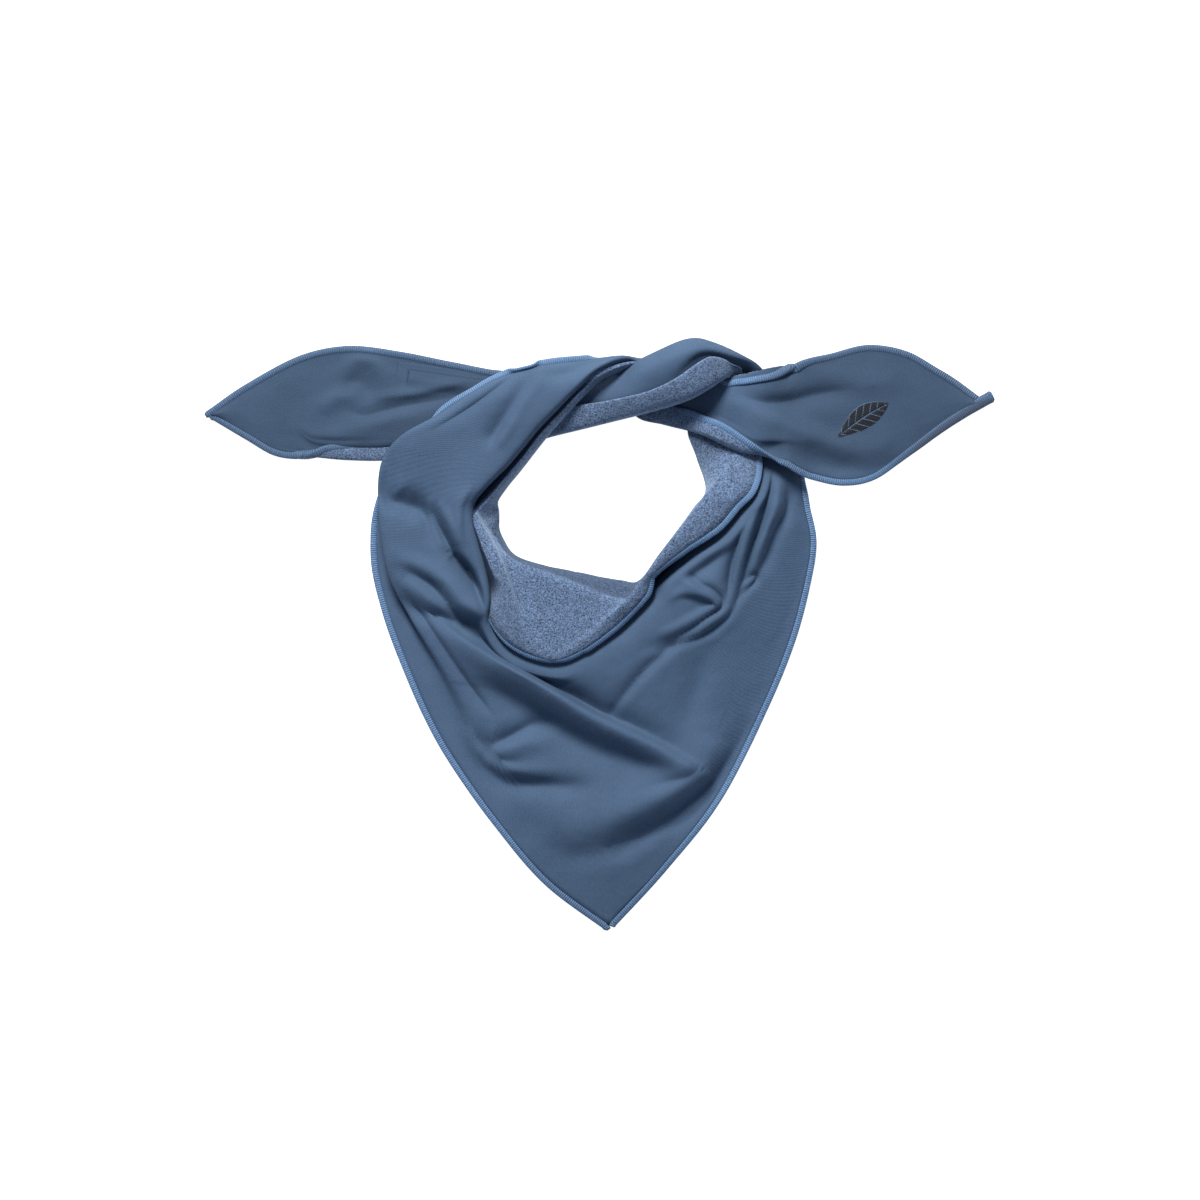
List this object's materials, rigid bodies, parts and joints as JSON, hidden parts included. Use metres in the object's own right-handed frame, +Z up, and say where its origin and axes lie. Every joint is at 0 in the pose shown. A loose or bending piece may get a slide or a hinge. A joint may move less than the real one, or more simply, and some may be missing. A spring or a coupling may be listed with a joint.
{
  "type": "knotted triangular scarf",
  "caption": "Triangular neckerchief of smooth-faced, fleece-backed cloth with overlocked edges, tied in a half knot at the back and laid flat, worn round the neck for warmth",
  "frame": {"origin": "centre of the footprint, on the surface the scarf lies on", "axes": "+X towards the right tail, +Y towards the knot, +Z up; the front tip points to -Y"},
  "size_m": [0.4762, 0.3557, 0.0338],
  "materials": {
    "cloth": "smooth knit outside, brushed fleece inside",
    "edge_thread": "overlocked thread",
    "embroidery_thread": "satin stitch"
  },
  "bodies": {
    "root": {"scarf_cloth": "cloth", "neck_edge_binding": "edge_thread", "right_edge_binding": "edge_thread", "left_edge_binding": "edge_thread", "embroidered_leaf": "embroidery_thread"}
  },
  "joints": []
}
